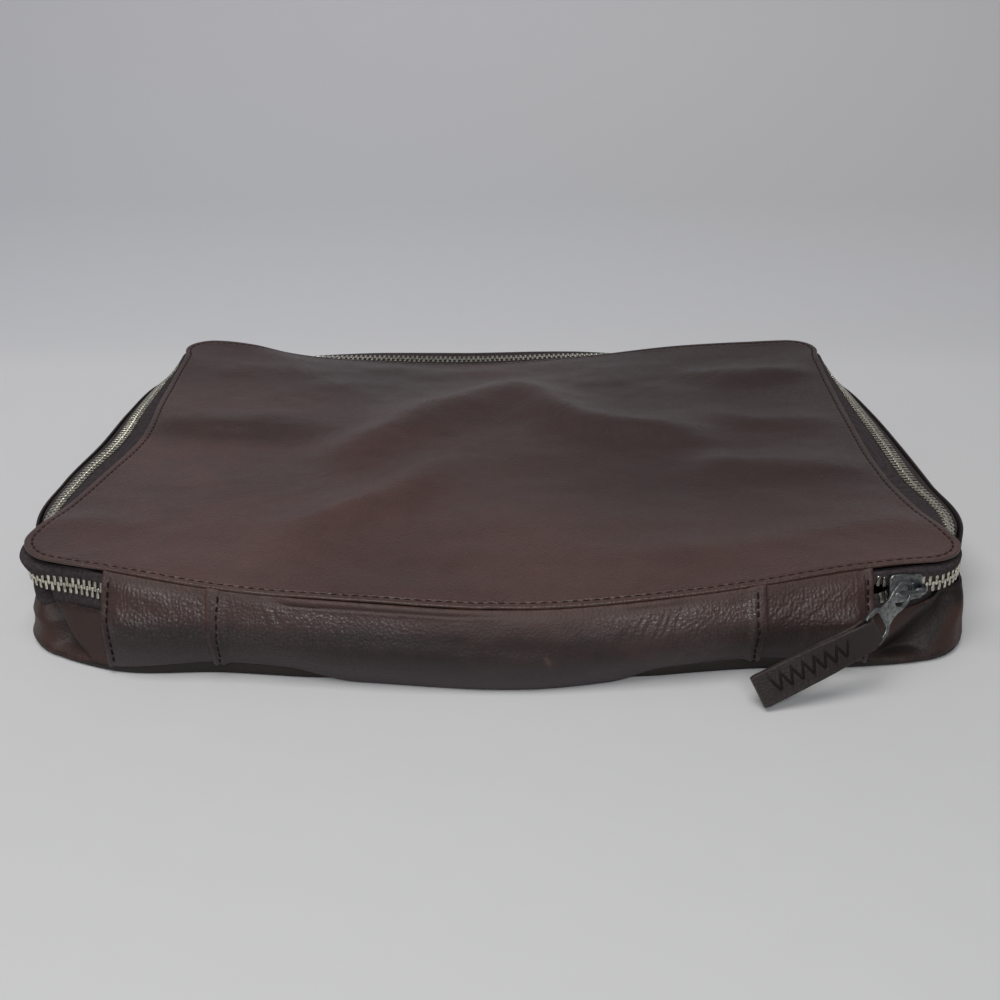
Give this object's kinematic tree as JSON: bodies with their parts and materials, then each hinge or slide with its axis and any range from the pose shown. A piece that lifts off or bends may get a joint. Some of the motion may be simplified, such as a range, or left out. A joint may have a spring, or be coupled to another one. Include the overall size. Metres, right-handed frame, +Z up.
{
  "type": "leather laptop sleeve",
  "caption": "Flat zip-round leather laptop sleeve lying on its back: soft top panel, gusset, closed spine with lapped end patches, metal zip and a swinging pull with a leather tab.",
  "frame": {"origin": "on the resting plane, under the middle of the top panel", "axes": "+X along the spine towards the zip slider's end, +Y from the spine to the back of the zip, +Z up out of the top panel"},
  "size_m": [0.4099, 0.3221, 0.0428],
  "materials": {
    "panel_leather": "satin",
    "grain_leather": "satin",
    "base_leather": "matte",
    "tab_leather": "matte",
    "zip_tape": "matte",
    "zip_teeth": "satin",
    "zip_metal": "satin"
  },
  "bodies": {
    "case": {"top_panel": "panel_leather", "bottom_panel": "base_leather", "gusset": "grain_leather", "spine": "grain_leather", "spine_end_right": "grain_leather", "spine_end_left": "grain_leather", "zip_tape_upper": "zip_tape", "zip_tape_lower": "zip_tape", "zip_teeth": "zip_teeth", "zip_slider": "zip_metal"},
    "pull": {"zip_pull": "zip_metal", "pull_tab": "tab_leather"}
  },
  "joints": [
    {"name": "pull_swing", "type": "hinge", "parent": "case", "child": "pull", "pos_m": [0.15825, -0.14616, 0.03418], "axis": [-0.9732, -0.2297, 0.0008], "range_deg": [0, 135]}
  ]
}
